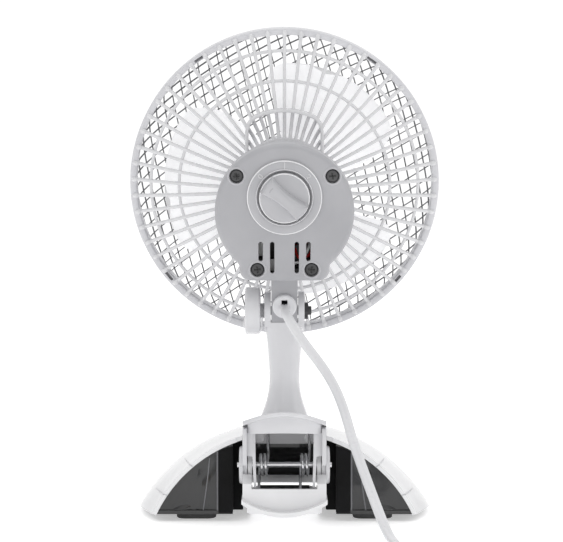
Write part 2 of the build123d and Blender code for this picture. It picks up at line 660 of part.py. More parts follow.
def base():
    outer = base_solid()
    inner = base_solid(SHELL_WALL)
    keep("neck", neck(outer))
    keep("base_shell", base_shell(outer, inner))
    keep("base_inner", base_inner(inner))
    keep("upper_handle", upper_handle())
    keep("lower_jaw", lower_jaw())
    keep("jaw_pad", box((-15, 15), (-62, -22), (3.1, 3.7)))
    keep("clip_pin", rod_x(PIN_R, (-PIN_HALF, PIN_HALF), PIN_Y, PIN_Z))
    cap = rod_x(CAP_R, (HANDLE_X, HANDLE_X + 2.2), PIN_Y, PIN_Z)
    cap = fillet(cap.edges().group_by(Axis.X)[-1], 1.2) - rod_x(PIN_R, (0, 40), PIN_Y, PIN_Z)
    keep("pivot_caps", mirrored(cap))
    keep("clip_springs", [clip_spring(x) for x in SPRING_X])
    feet = []
    for x, y in ((-49, 27), (49, 27), (-43, -36), (43, -36)):
        foot = Pos(x, y, FLOOR_Z / 2) * extrude(RectangleRounded(22, 14, 5), amount=FLOOR_Z / 2, both=True)
        feet.append(fillet(foot.edges().group_by(Axis.Z)[0], 1.0))
    keep("rubber_feet", feet)
    screws = []
    for x in (-6, 6):
        screws.append(rod_z(1.5, (37.5, NECK_FOOT_Z + 9), x=x) + rod_z(3.0, (35.7, 37.5), x=x))
    keep("neck_screws", screws)
    screws = []
    for x in (-14, 14):
        screws.append(rod_y(1.4, (10, 18.8), x=x, z=43.5) + rod_y(2.8, (18.8, 20.4), x=x, z=43.5))
    keep("handle_screws", screws)


# ---- cord ----


def corner_radii(points):
    """The largest arc that each corner of the route has room for."""
    radii = []
    for a, b, c in zip(points, points[1:], points[2:]):
        one, two = Vector(*b) - Vector(*a), Vector(*c) - Vector(*b)
        turn = math.radians(one.get_angle(two))
        radii.append(0.45 * min(one.length, two.length) / math.tan(turn / 2))
    return radii


def power_cord():
    radii = corner_radii(CORD_ROUTE)
    print("cord corner radii, mm:", [round(r, 1) for r in radii])
    path = FilletPolyline(*CORD_ROUTE, radius=radii)
    tube = sweep((path ^ 0) * Circle(CORD_D / 2), path=path)
    expected = math.pi * (CORD_D / 2) ** 2 * path.length
    print("cord length", round(path.length, 1), "volume share", round(tube.volume / expected, 4))
    return tube


def cord():
    keep("power_cord", power_cord())
    x, y = COIL_CENTRE
    coil = Cylinder(COIL_R + COIL_HALF_WIDTH, COIL_HEIGHT)
    coil -= Cylinder(COIL_R - COIL_HALF_WIDTH, COIL_HEIGHT)
    keep("cord_coil", Pos(x, y, COIL_HEIGHT / 2) * coil)
    x, y = PLUG_AT
    z = PLUG_SIZE[2] / 2
    keep("plug_body", fillet((Pos(x, y, z) * Box(*PLUG_SIZE)).edges(), 2.5))
    pin_y = y - (PLUG_SIZE[1] + PLUG_PIN[1]) / 2
    pins = [Pos(x + s * PLUG_PIN_X, pin_y, z) * Box(*PLUG_PIN) for s in (-1, 1)]
    keep("plug_pins", pins)


keep("rear_guard", rear_guard(), HEAD)
keep("front_guard", front_guard(), HEAD)
keep("guard_badge", guard_badge(), HEAD)
keep("fan_blade", fan_blade(), HEAD)
motor()
keep("motor_housing", motor_housing(), HEAD)
controls()
keep("cord_bushing", cord_bushing(), HEAD)
keep("tilt_knob", tilt_knob())
keep("tilt_bolt", rod_x(BOLT_R, (-EAR_OUTER_X - 4.0, EAR_OUTER_X + 0.3), 0, PIVOT_Z))
keep("tilt_nut", tilt_nut())
base()
cord()

lead_nodes = ("power_cord", "cord_coil", "plug_body", "plug_pins")
whole = Compound([s for n, s in nodes.items() if n not in lead_nodes]).bounding_box()
print("object box, mm:", [[round(a, 2) for a in tuple(corner)] for corner in (whole.min, whole.max)])
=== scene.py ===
import math

import bmesh
import bpy
from mathutils import Matrix, Vector


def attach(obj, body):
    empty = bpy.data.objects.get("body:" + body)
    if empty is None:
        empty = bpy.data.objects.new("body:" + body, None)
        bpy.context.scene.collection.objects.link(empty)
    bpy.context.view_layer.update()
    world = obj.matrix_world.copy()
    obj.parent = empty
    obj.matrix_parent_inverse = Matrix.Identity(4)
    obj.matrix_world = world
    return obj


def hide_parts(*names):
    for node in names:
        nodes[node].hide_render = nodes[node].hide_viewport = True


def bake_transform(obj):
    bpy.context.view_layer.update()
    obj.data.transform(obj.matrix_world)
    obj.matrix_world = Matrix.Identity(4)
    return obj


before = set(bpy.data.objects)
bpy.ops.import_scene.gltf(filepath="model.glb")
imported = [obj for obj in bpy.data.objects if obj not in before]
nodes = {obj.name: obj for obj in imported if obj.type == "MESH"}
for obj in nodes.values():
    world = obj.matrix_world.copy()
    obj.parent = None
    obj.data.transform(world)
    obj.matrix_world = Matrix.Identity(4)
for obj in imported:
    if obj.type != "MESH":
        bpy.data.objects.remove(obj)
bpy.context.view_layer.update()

# Shapes are drawn in millimetres and placed in the model's frame.
MM = 0.001
SHIFT_Y = 6.98
PIVOT_Z = 113.5
AXIS_ABOVE_PIVOT = 66.0
PIVOT_BACK = 50.0
STAND = Matrix.Translation((0, SHIFT_Y, 0))
HEAD = (
    Matrix.Translation((0, SHIFT_Y, PIVOT_Z))
    @ Matrix.Rotation(math.radians(-9), 4, "X")
    @ Matrix.Translation((0, -PIVOT_BACK, AXIS_ABOVE_PIVOT))
)


# ---- materials ----


def grain(tree, scale, detail=3.0):
    """A noise texture on the piece's own coordinates."""
    where = tree.nodes.new("ShaderNodeTexCoord")
    noise = tree.nodes.new("ShaderNodeTexNoise")
    noise.inputs["Scale"].default_value = scale
    noise.inputs["Detail"].default_value = detail
    tree.links.new(where.outputs["Object"], noise.inputs["Vector"])
    return noise


def ramp_to(tree, source, target, low, high, start=0.3, end=0.7):
    """Sends a noise to a shader socket through a ramp between two colours or two values."""
    ramp = tree.nodes.new("ShaderNodeValToRGB")
    ramp.color_ramp.elements[0].position = start
    ramp.color_ramp.elements[1].position = end
    for element, value in zip(ramp.color_ramp.elements, (low, high)):
        element.color = (*value, 1) if isinstance(value, tuple) else (value, value, value, 1)
    tree.links.new(source.outputs["Fac"], ramp.inputs["Fac"])
    tree.links.new(ramp.outputs["Color"], target)


def material(name, low, high, rough, bump=0.04, fine=2600.0, broad=45.0, **sockets):
    """A moulded or metal surface: broad colour drift, patchy gloss and a fine bump."""
    made = bpy.data.materials.new(name)
    made.use_nodes = True
    tree = made.node_tree
    shader = tree.nodes["Principled BSDF"]
    ramp_to(tree, grain(tree, broad), shader.inputs["Base Color"], low, high)
    ramp_to(tree, grain(tree, broad * 6), shader.inputs["Roughness"], rough[0], rough[1])
    height = tree.nodes.new("ShaderNodeBump")
    height.inputs["Strength"].default_value = bump
    height.inputs["Distance"].default_value = 0.0002
    tree.links.new(grain(tree, fine).outputs["Fac"], height.inputs["Height"])
    tree.links.new(height.outputs["Normal"], shader.inputs["Normal"])
    for socket, value in sockets.items():
        shader.inputs[socket.replace("_", " ")].default_value = value
    return made


def grey(level, blue=0.012):
    """A grey with a little more blue."""
    return (level, level, level + blue)


SHELL = material("shell_gloss", grey(0.82), grey(0.87), (0.10, 0.17), 0.01, Coat_Weight=0.3)
# The upper grip is the shell's white plastic, given a darker copy of its colour: painted shade.
GRIP_SHADED = material("grip_gloss_shaded", grey(0.66, 0.02), grey(0.72, 0.02), (0.12, 0.20), 0.01, Coat_Weight=0.3)
SEAM = material("seam_shadow", grey(0.50, 0.02), grey(0.56, 0.02), (0.25, 0.35), 0.02)
# The posts and ridges at the glossy panels are black plastic coloured grey: painted highlight lines.
EDGE_HIGHLIGHT = material("panel_edge_highlight", grey(0.10, 0.01), grey(0.16, 0.01), (0.12, 0.20), 0.02, Coat_Weight=0.5)
GUARD = material("guard_satin", grey(0.64, 0.025), grey(0.69, 0.025), (0.26, 0.34))
# The ribs, rings and arch are the rear guard's own plastic, given a lighter copy of the rim's colour: painted
# light on their tops.
RIB_LIT = material("rib_satin_lit", grey(0.71, 0.015), grey(0.76, 0.015), (0.24, 0.32))
COVER = material("cover_satin", grey(0.40, 0.02), grey(0.44, 0.02), (0.32, 0.42), 0.04)
DIAL = material("dial_satin", grey(0.45, 0.02), grey(0.49, 0.02), (0.28, 0.36), 0.05)
# Bright white: the real colour of the pale wires and pieces in the vents, and a painted highlight on the
# dial's and knob's edge rings.
WHITE_AND_HIGHLIGHT = material("white_and_painted_highlight", grey(0.82), grey(0.88), (0.30, 0.40), 0.03)
FAINT = material("dial_figure", grey(0.60), grey(0.66), (0.30, 0.40), 0.03)
# The speed knob is white like the tilt knob. Its darker grey is painted shade on its face.
KNOB_SHADED = material("knob_satin_shaded", grey(0.48, 0.02), grey(0.53, 0.02), (0.16, 0.24), 0.01)
# The front guard's net is white plastic. Its dark grey is painted shade.
NET_SHADED = material("net_grey", grey(0.12, 0.008), grey(0.20, 0.01), (0.30, 0.42))
# The latch tabs are the front guard's white plastic. Their dark grey is painted shade, as on the net.
TAB_SHADED = material("latch_painted_shade", grey(0.12, 0.01), grey(0.16, 0.01), (0.35, 0.45))
STAND_WHITE = material("stand_satin", grey(0.70, 0.02), grey(0.75, 0.02), (0.18, 0.25), 0.01, Coat_Weight=0.2)
TONGUE = material("housing_grey", grey(0.38, 0.02), grey(0.42, 0.02), (0.34, 0.42), 0.08)
BLACK = material(
    "base_gloss_black", grey(0.012, 0.001), grey(0.020, 0.001), (0.06, 0.14), 0.02, Coat_Weight=0.4,
)
# Black plastic made darker than the panels, with its sheen turned down: painted shade in the recess.
INNER_SHADE = material(
    "base_inner_black_shaded", grey(0.004, 0.0), grey(0.008, 0.001), (0.45, 0.55), 0.06, Specular_IOR_Level=0.12,
)
RUBBER = material("foot_rubber", grey(0.045, 0.001), grey(0.065, 0.001), (0.60, 0.75), 0.25, 1500.0)
CHROME = material("spring_chrome", grey(0.70), grey(0.80), (0.10, 0.20), 0.05, Metallic=1.0)
SCREW = material(
    "screw_zinc", grey(0.055, 0.002), grey(0.09, 0.002), (0.30, 0.45), 0.20, 1200.0, Metallic=0.5,
)
STEEL = material("plain_steel", grey(0.42), grey(0.52), (0.28, 0.40), 0.10, Metallic=1.0)
CORE = material("lamination", grey(0.22), grey(0.30), (0.40, 0.55), 0.30, Metallic=0.9)
BRONZE = material("bush_bronze", (0.40, 0.25, 0.10), (0.50, 0.32, 0.14), (0.35, 0.50), 0.2, Metallic=0.9)
NYLON = material("natural_nylon", (0.74, 0.71, 0.62), (0.82, 0.79, 0.70), (0.35, 0.45), 0.06)
SWITCH = material("switch_black", grey(0.015, 0.0), grey(0.03, 0.0), (0.40, 0.50))
RED = material("wire_red", (0.42, 0.01, 0.01), (0.55, 0.02, 0.015), (0.30, 0.40))
WIRE = material("wire_black", grey(0.010, 0.0), grey(0.02, 0.0), (0.30, 0.40))
CORD = material("cord_vinyl", grey(0.77, 0.018), grey(0.79, 0.018), (0.27, 0.29), 0.01, 900.0)
TIE = material("tie_film", grey(0.60, 0.02), grey(0.66, 0.02), (0.15, 0.25), 0.02)
BRASS = material("plug_brass", (0.62, 0.50, 0.26), (0.74, 0.60, 0.32), (0.18, 0.30), 0.08, Metallic=1.0)
# The blades' milky white is their own colour. Their glow is painted light, standing in for light passing
# through them.
BLADE_GLOW = material(
    "blade_milky_glow", grey(0.90, 0.01), grey(0.94, 0.01), (0.20, 0.28), 0.01, Emission_Strength=0.29,
    Emission_Color=(1.0, 1.0, 1.0, 1.0),
)

for node, made in {
    "guard_badge": GUARD,
    "blade_nut": STAND_WHITE,
    "motor_shaft": STEEL,
    "rotor_core": CORE,
    "stator_core": CORE,
    "coil_bobbin": NYLON,
    "stator_coil": SWITCH,
    "front_bracket": STEEL,
    "rear_bracket": STEEL,
    "front_bush": BRONZE,
    "rear_bush": BRONZE,
    "motor_screws": STEEL,
    "motor_housing": TONGUE,
    "rear_cover": COVER,
    "cover_screws": SCREW,
    "speed_knob": KNOB_SHADED,
    "rotary_switch": SWITCH,
    "wire_connector": SWITCH,
    "lead_red": RED,
    "lead_black": WIRE,
    "guard_screws": STEEL,
    "cord_bushing": STAND_WHITE,
    "tilt_knob": STAND_WHITE,
    "tilt_bolt": SCREW,
    "tilt_nut": SCREW,
    "neck": STAND_WHITE,
    "base_shell": SHELL,
    "base_inner": BLACK,
    "upper_handle": SHELL,
    "lower_jaw": SHELL,
    "jaw_pad": RUBBER,
    "clip_pin": CHROME,
    "pivot_caps": STAND_WHITE,
    "clip_springs": CHROME,
    "rubber_feet": RUBBER,
    "neck_screws": STEEL,
    "handle_screws": STEEL,
    "power_cord": CORD,
    "cord_coil": CORD,
    "plug_body": CORD,
    "plug_pins": BRASS,
    "rear_guard": GUARD,
    "front_guard": NET_SHADED,
    "fan_blade": BLADE_GLOW,
}.items():
    mesh = nodes[node].data
    mesh.materials.clear()
    mesh.materials.append(made)
    mesh.polygons.foreach_set("use_smooth", [True] * len(mesh.polygons))
    mesh.set_sharp_from_angle(angle=math.radians(28))


# ---- mesh building ----


class Shape:
    """Closed surfaces in millimetres, gathered into one piece."""

    def __init__(self):
        self.verts = []
        self.faces = []

    def add(self, verts, faces, turn=None):
        """Takes in one closed surface, moved by a matrix if there is one."""
        start = len(self.verts)
        self.verts += [turn @ Vector(v) if turn else Vector(v) for v in verts]
        self.faces += [[i + start for i in face] for face in faces]
        return self

    def piece(self, name, made, body, slot, place=STAND, replaces=(), sharp=34):
        """Builds the mesh, ties it to its body and hides the nodes it replaces; the colour slot is not used.
        """
        mesh = bpy.data.meshes.new(name)
        mesh.from_pydata([MM * (place @ v) for v in self.verts], [], self.faces)
        work = bmesh.new()
        work.from_mesh(mesh)
        bmesh.ops.remove_doubles(work, verts=work.verts, dist=1e-6)
        bmesh.ops.dissolve_degenerate(work, edges=work.edges, dist=1e-7)
        bmesh.ops.recalc_face_normals(work, faces=work.faces)
        work.to_mesh(mesh)
        work.free()
        mesh.materials.append(made)
        mesh.polygons.foreach_set("use_smooth", [True] * len(mesh.polygons))
        mesh.set_sharp_from_angle(angle=math.radians(sharp))
        made_object = bpy.data.objects.new(name, mesh)
        bpy.context.scene.collection.objects.link(made_object)
        if body:
            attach(made_object, body)
        if replaces:
            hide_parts(*replaces)
        return made_object


def skin(loops, closed=False):
    """Joins equal closed loops of points into a surface, with ends unless it closes on itself."""
    count = len(loops[0])
    rows = len(loops)
    faces = []
    for i in range(rows if closed else rows - 1):
        for j in range(count):
            k, low, high = (j + 1) % count, i * count, (i + 1) % rows * count
            faces.append((low + j, low + k, high + k, high + j))
    if not closed:
        faces.append(tuple(reversed(range(count))))
        faces.append(tuple(range((rows - 1) * count, rows * count)))
    return [v for loop in loops for v in loop], faces


def clock(angle, r, y=0.0):
    """A point on the fan's face, at this angle clockwise from the top as seen from behind."""
    return Vector((-r * math.sin(angle), y, r * math.cos(angle)))


def spun(profile, steps=144):
    """A ring round the fan's axis from a closed (radius, y) profile."""
    return skin([[clock(math.tau * k / steps, r, y) for r, y in profile] for k in range(steps)], closed=True)


def corners(points, radius, steps=4):
    """A closed 2D outline with its corners rounded."""
    count = len(points)
    sizes = radius if isinstance(radius, (list, tuple)) else [radius] * count
    made = []
    for i, (point, size) in enumerate(zip(points, sizes)):
        here = Vector(point)
        before, after = Vector(points[i - 1]) - here, Vector(points[(i + 1) % count]) - here
        if size <= 0:
            made.append(here)
            continue
        reach = min(size / math.tan(before.angle(after) / 2), before.length / 2.02, after.length / 2.02)
        start, end = here + before.normalized() * reach, here + after.normalized() * reach
        for k in range(steps + 1):
            t = k / steps
            made.append((1 - t) ** 2 * start + 2 * t * (1 - t) * here + t**2 * end)
    return made


def rectangle(width, height, radius, steps=3, x=0.0, y=0.0):
    """A rounded rectangle round a middle point."""
    w, h = width / 2, height / 2
    box = [(x - w, y - h), (x + w, y - h), (x + w, y + h), (x - w, y + h)]
    return corners(box, radius, steps)


def circle(radius, count=12, x=0.0, y=0.0):
    """Points round a circle."""
    return [
        Vector((x + radius * math.cos(math.tau * k / count), y + radius * math.sin(math.tau * k / count)))
        for k in range(count)
    ]


def sweep(points, section, up, closed=False, scales=None):
    """Carries a 2D section along a line. Its first axis lies across the line and its second along up."""
    points = [Vector(p) for p in points]
    count = len(points)
    loops = []
    for i, point in enumerate(points):
        before = points[i - 1] if i or closed else point
        after = points[(i + 1) % count] if i < count - 1 or closed else point
        along = (after - before).normalized()
        above = up(point) if callable(up) else Vector(up)
        side = along.cross(above).normalized()
        lift = side.cross(along).normalized()
        scale = scales[i] if scales else (1, 1)
        loops.append([point + side * u * scale[0] + lift * v * scale[1] for u, v in section])
    return skin(loops, closed)


def slab(outline, low, high, axis="y", edge=0.0):
    """A plate from a 2D outline, from low to high along an axis, with its rims eased by edge."""
    centre = sum((Vector(p) for p in outline), Vector((0, 0))) / len(outline)

    def loop(at, inset):
        points = []
        for p in outline:
            out = Vector(p) - centre
            q = centre + out * (1 - inset / max(out.length, 1e-6))
            points.append({"y": (q.x, at, q.y), "x": (at, q.x, q.y), "z": (q.x, q.y, at)}[axis])
        return points

    if not edge:
        return skin([loop(low, 0), loop(high, 0)])
    steps = [(low, edge), (low + edge * 0.3, edge * 0.3), (low + edge, 0)]
    steps += [(high - edge, 0), (high - edge * 0.3, edge * 0.3), (high, edge)]
    return skin([loop(at, inset) for at, inset in steps])


DISH_R = 192.2
DISH_MIDDLE_Y = -164.3


def dish_y(r):
    """The rear face of the rear guard's ribs."""
    return DISH_MIDDLE_Y + math.sqrt(DISH_R**2 - r**2)


# ---- camera ----

camera_data = bpy.data.cameras.new("camera")
camera_data.lens = 129.4
camera_data.clip_start = 0.05
camera_data.clip_end = 30
camera = bpy.data.objects.new("camera", camera_data)
camera.location = (0.0, 1.1554, 0.1962)
TARGET = Vector((0.0017, 0.00698, 0.136))
camera.rotation_euler = (TARGET - camera.location).to_track_quat("-Z", "Y").to_euler()
bpy.context.scene.collection.objects.link(camera)
bpy.context.scene.camera = camera
bpy.context.scene.view_settings.view_transform = "Standard"

# ---- cord ----

CORD_ROUTE = [
    (0, 15.05, 116.48),
    (0, 25.0, 114.9),
    (-4.7, 31.8, 107),
    (-11.2, 34.8, 97.3),
    (-20, 37.5, 86.5),
    (-27.5, 41.7, 75),
    (-32.8, 47.5, 62),
    (-36.8, 55.5, 47.5),
    (-42, 65.5, 33),
    (-47, 79, 20),
    (-51.5, 95, 9),
    (-55, 113, 2.8),
    (-58.6, 131, 2.6),
    (-61.2, 148, 2.65),
    (-62.1, 168, 2.6),
]
COIL_CENTRE = (-24.3, 203.0)
COIL_OUTER_R = 37.9
TURN_STEP = 5.5  # from one turn to the next
TURNS = 3.125  # in each of the two layers
POINTS_PER_TURN = 16
LAYER_Z = (1.9, 5.4)
CORD_WIDTH = 5.4
CORD_THICK = 3.4


def coil_points():
    """Clockwise turns from above: inwards on the floor, then outwards on top of those."""
    total = round(2 * TURNS * POINTS_PER_TURN)
    made = []
    for k in range(total + 1):
        turn = k / POINTS_PER_TURN
        inward = min(turn, 2 * TURNS - turn)
        r = COIL_OUTER_R - TURN_STEP * inward
        rise = min(max((turn - TURNS + 0.15) / 0.3, 0), 1)
        z = LAYER_Z[0] + (LAYER_Z[1] - LAYER_Z[0]) * rise * rise * (3 - 2 * rise)
        angle = math.pi - math.tau * turn
        made.append((COIL_CENTRE[0] + r * math.cos(angle), COIL_CENTRE[1] + r * math.sin(angle), z))
    return made


TO_PLUG = [
    (-12, 240.7, 5.4),
    (4, 240.8, 5.9),
    (18, 240.6, 6.6),
    (29, 239.4, 6.9),
    (36, 235.6, 7.0),
    (38, 229.5, 7.0),
    (38, 218.5, 7.0),
]
PLUG_AT = Vector((38.0, 205.0, 7.0))
route = CORD_ROUTE + coil_points() + TO_PLUG

curve = bpy.data.curves.new("cord_line", "CURVE")
curve.dimensions = "3D"
curve.resolution_u = 8
spline = curve.splines.new("NURBS")
spline.points.add(len(route) - 1)
for point, spot in zip(spline.points, route):
    point.co = (*(MM * (STAND @ Vector(spot))), 1)
spline.order_u = 3
spline.use_endpoint_u = True
line_object = bpy.data.objects.new("cord_line", curve)
bpy.context.scene.collection.objects.link(line_object)
bpy.context.view_layer.update()
line_mesh = bpy.data.meshes.new_from_object(line_object)
cord_path = [v.co.copy() for v in line_mesh.vertices]
bpy.data.objects.remove(line_object)


def cord_tube(path):
    """The flat twin lead, which turns flat side down as it reaches the floor."""
    section = []
    for k in range(28):
        a = math.tau * k / 28
        across = CORD_WIDTH / 2 * math.copysign(abs(math.cos(a)) ** 0.8, math.cos(a))
        waist = 1 - 0.24 * math.exp(-((across / (0.08 * CORD_WIDTH)) ** 2))
        thick = CORD_THICK / 2 * waist * math.copysign(abs(math.sin(a)) ** 0.72, math.sin(a))
        section.append((across, thick))
    side = Vector((1, 0, 0))
    loops = []
    for i, point in enumerate(path):
        along = (path[min(i + 1, len(path) - 1)] - path[max(i - 1, 0)]).normalized()
        flat = along.cross(Vector((0, 0, 1)))
        target = Vector((1, 0, 0)) if point.z > 20 or flat.length < 0.2 else flat.normalized()
        if target.dot(side) < 0:
            target = -target
        side = side.lerp(target, 0.12)
        side = (side - along * side.dot(along)).normalized()
        lift = side.cross(along).normalized()
        loops.append([point + side * u + lift * v for u, v in section])
    return skin(loops)


lead = Shape().add(*cord_tube([p / MM for p in cord_path]))
REPLACED = ("power_cord", "cord_coil")
cord = lead.piece("power_lead", CORD, None, "cord_white", Matrix.Identity(4), REPLACED, sharp=80)


def plug():
    """The shapes of a moulded two-pin plug with grip ribs, and of its tapered, notched neck."""
    body = Shape()
    stations = [
        (-14, 9.5, 5.0), (-13.2, 11.2, 6.4), (-11.5, 12, 7), (2, 12, 7), (7, 10.6, 6.4), (11, 7.6, 5.2),
        (14, 5.4, 4.2),
    ]
    loops = []
    for y, w, h in stations:
        loops.append([(u, y, v) for u, v in rectangle(2 * w, 2 * h, min(w, h) * 0.55, 4)])
    body.add(*skin(loops))
    for k in range(4):
        y = -8 + 3.2 * k
        loops = []
        for d, s in ((-0.8, 0.8), (-0.4, 0.05), (0.4, 0.05), (0.8, 0.8)):
            loops.append([(u, y + d, v) for u, v in rectangle(24.0 - s, 14.0 - s, 4.0, 4)])
        body.add(*skin(loops))
    relief = Shape()
    for k in range(3):
        y, w = 13.6 + 3.4 * k, 4.9 - 0.38 * k
        loops = []
        for d, s in ((0, 0.86), (0.4, 1), (1.9, 0.97), (2.3, 0.8), (3.5, 0.76)):
            loops.append([(u, y + d, v) for u, v in rectangle(2 * w * s, 1.6 * w * s, w * 0.5, 3)])
        relief.add(*skin(loops))
    return body, relief


plug_shape, relief_shape = plug()
plug_place = STAND @ Matrix.Translation(PLUG_AT)
plug_body = plug_shape.piece("plug_moulding", CORD, "base", "cord_white", plug_place, ("plug_body",))
relief_place = STAND @ Matrix.Translation(PLUG_AT + Vector((0, 0.4, 0)))
plug_relief = relief_shape.piece("plug_relief", CORD, "base", "cord_white", relief_place)

TIE_R = 27.4  # from the coil's centre to the middle of its turns
TIE_Z = 4.0
TIE_HALF = 2.2
tie_angle = math.radians(35)
tie_out = Vector((math.cos(tie_angle), math.sin(tie_angle), 0))
tie_across = Vector((0, 0, 1)).cross(tie_out)


def tie_loop(width, height, radius, shift):
    """One edge of the tie: a loop round the coil's turns, shifted along them."""
    middle = tie_out * TIE_R + Vector((0, 0, TIE_Z)) + tie_across * shift
    return [middle + tie_out * u + Vector((0, 0, v)) for u, v in rectangle(width, height, radius, 6)]


OUTSIDE, INSIDE = (28.6, 7.9, 3.2), (27.4, 6.9, 2.8)
tie = Shape()
sides = [(OUTSIDE, -TIE_HALF), (OUTSIDE, TIE_HALF), (INSIDE, TIE_HALF), (INSIDE, -TIE_HALF)]
tie.add(*skin([tie_loop(*size, shift) for size, shift in sides], closed=True))
tie.piece("cord_tie", TIE, "base", "cord_white", STAND @ Matrix.Translation((*COIL_CENTRE, 0)))

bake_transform(cord)

# ---- guards ----

RIB_COUNT = 57
LATCHES = (35, 131, 231, 326)


def up_y(point):
    """Up is towards the viewer everywhere on the rear guard."""
    return Vector((0, 1, 0))


# The arch over the housing: its centre above the axis, the radius of its top and its half width.
ARCH_UP, ARCH_R, ARCH_HALF = 4.5, 40.1, 21.6


def arch_reach(angle):
    """How far the arch's inner side is from the axis at this angle from the top."""
    top = ARCH_UP * math.cos(angle) + math.sqrt((ARCH_R - 0.9) ** 2 - (ARCH_UP * math.sin(angle)) ** 2)
    side = (ARCH_HALF - 1.0) / max(abs(math.sin(angle)), 1e-6)
    return min(top, side)


def rim_profile():
    """The rear rim's section as (radius, y): a skirt with a lip turned inwards."""
    return [
        (90, 0), (90, 6.1), (89.7, 6.7), (89.1, 7), (87, 7), (86.5, 6.8),
        (86.3, 6.3), (86.3, 5.6), (86.6, 5.4), (88.4, 5.4), (88.4, 0),
    ]


def block(angle, radius, size, y):
    """A box on the rim at a clock angle, in degrees: size is (along the rim, radial)."""
    a = math.radians(angle)
    out, across = clock(a, 1.0), clock(a + math.pi / 2, 1.0)
    loops = []
    for at in y:
        loop = []
        for u, v in rectangle(size[0], size[1], 0.25, 1):
            loop.append(out * (radius + v) + across * u + Vector((0, at, 0)))
        loops.append(loop)
    return skin(loops)


RIM_STEPS = 228
LATCH_R = 87.5
rim_shape = Shape().add(*spun(rim_profile(), RIM_STEPS))
rim = rim_shape.piece("rear_rim", GUARD, "head", "guard_white", HEAD, ("rear_guard",))
windows = Shape()
for angle in LATCHES:
    windows.add(*block(angle, LATCH_R, (6.6, 1.6), (2.5, 9.0)))
cutter = windows.piece("latch_cutter", GUARD, None, None, HEAD)
cut = rim.modifiers.new("latches", "BOOLEAN")
cut.operation = "DIFFERENCE"
cut.solver = "EXACT"
cut.object = cutter
bpy.context.view_layer.update()
rim_mesh = bpy.data.meshes.new_from_object(rim.evaluated_get(bpy.context.evaluated_depsgraph_get()))
rim.modifiers.clear()
rim.data = rim_mesh
rim_mesh.set_sharp_from_angle(angle=math.radians(34))
bpy.data.objects.remove(cutter)

tabs = Shape()
for angle in LATCHES:
    tabs.add(*block(angle, LATCH_R, (5.8, 1.0), (1.0, 6.3)))
tabs.piece("latch_tabs", TAB_SHADED, "head", "net_grey", HEAD, ("front_guard",))

ribs = Shape()
RIB_SECTION = rectangle(2.0, 2.6, 0.98, 4)
RIB_HALF_DEPTH = 1.3
HUB_PLATE_Y = 24.4
RIM_Y = 7.75
for k in range(RIB_COUNT):
    angle = math.tau * k / RIB_COUNT
    from_top = (angle + math.pi) % math.tau - math.pi
    inside = abs(from_top) < math.radians(52)
    start = 27.0
    if inside:
        reach = arch_reach(from_top) + 0.6
        stations = []
        for r in (27.0, 29.0, 31.0, 33.0, 35.0, 38.0, 41.0, 44.5):
            ease = min(max((r - 29) / 6, 0), 1)
            if r < reach:
                stations.append((r, min(dish_y(r), HUB_PLATE_Y) - 5.0 * ease * ease * (3 - 2 * ease)))
        stations.append((reach, stations[-1][1]))
        inner_line = [clock(angle, r, y - RIB_HALF_DEPTH) for r, y in stations]
        ribs.add(*sweep(inner_line, RIB_SECTION, up_y))
        start = reach - 0.8
    stations = [(start, dish_y(start) if start > 36 else HUB_PLATE_Y, 1.0, 1.0)]
    for r in range(27, 85, 4):
        if r > start + 1:
            stations.append((r, min(dish_y(r), HUB_PLATE_Y) if r < 36 else dish_y(r), 1.0, 1.0))
    # The rib's end lies on the rim as a rounded tip, a little wider than the rib.
    stations += [
        (85.1, dish_y(85.1), 1.0, 1.0),
        (85.9, RIM_Y + 0.35, 1.15, 1.05),
        (86.5, RIM_Y + 0.5, 1.38, 1.2),
        (87.4, RIM_Y + 0.45, 1.46, 1.2),
        (88.1, RIM_Y + 0.1, 1.20, 1.05),
        (88.5, RIM_Y - 0.3, 0.75, 0.7),
        (88.65, RIM_Y - 0.6, 0.30, 0.3),
    ]
    points = [clock(angle, r, y - RIB_HALF_DEPTH) for r, y, *_ in stations]
    ribs.add(*sweep(points, RIB_SECTION, up_y, scales=[s[2:] for s in stations]))
ribs.piece("rear_ribs", RIB_LIT, "head", "guard_white", HEAD, ("rear_guard",), sharp=50)

rings = Shape()
for r in (77.6, 61.0):
    section = rectangle(1.8, 2.2, 0.6, 3, r, dish_y(r) - 1.9)
    rings.add(*spun([(p.x, p.y) for p in section], RIM_STEPS))
plate = corners([(10, 21.3), (29.2, 21.3), (29.2, 24.5), (10, 24.5)], 0.5, 2)
rings.add(*spun([(p.x, p.y) for p in plate], 96))
rings.piece("rear_rings", RIB_LIT, "head", "guard_white", HEAD, ("rear_guard",), sharp=50)


def arch_line(half, top_r, low):
    """The arch over the housing from one foot to the other, in X and Z."""
    side = [(half, low), (half, 22.0), (half, 27.0), (half, 31.0)]
    turn = math.asin((half - 6.6) / top_r)
    shoulder = Vector((half - 6.6, ARCH_UP + top_r * math.cos(turn)))
    corner, foot = Vector((half, shoulder.y - 2.7)), Vector((half, 31.0))
    for k in range(1, 9):
        t = k / 9
        p = (1 - t) ** 2 * foot + 2 * t * (1 - t) * corner + t * t * shoulder
        side.append((p.x, p.y))
    shares = [1 - k / 8 for k in range(17)]
    top = [(top_r * math.sin(turn * s), ARCH_UP + top_r * math.cos(turn * s)) for s in shares]
    return side + top + [(-x, z) for x, z in reversed(side)]


arch = Shape()
line = [Vector((x, dish_y(math.hypot(x, z)) - 2.9, z)) for x, z in arch_line(ARCH_HALF, ARCH_R, 15.0)]
arch.add(*sweep(line, rectangle(1.9, 7.4, 0.6, 3), up_y))
arch.piece("rear_arch", RIB_LIT, "head", "guard_white", HEAD, ("rear_guard",), sharp=50)

NET_RISE = 33.2
NET_R = 88.0
NET_EDGE_Y = -5.0
NET_HOLE_R = 21.0


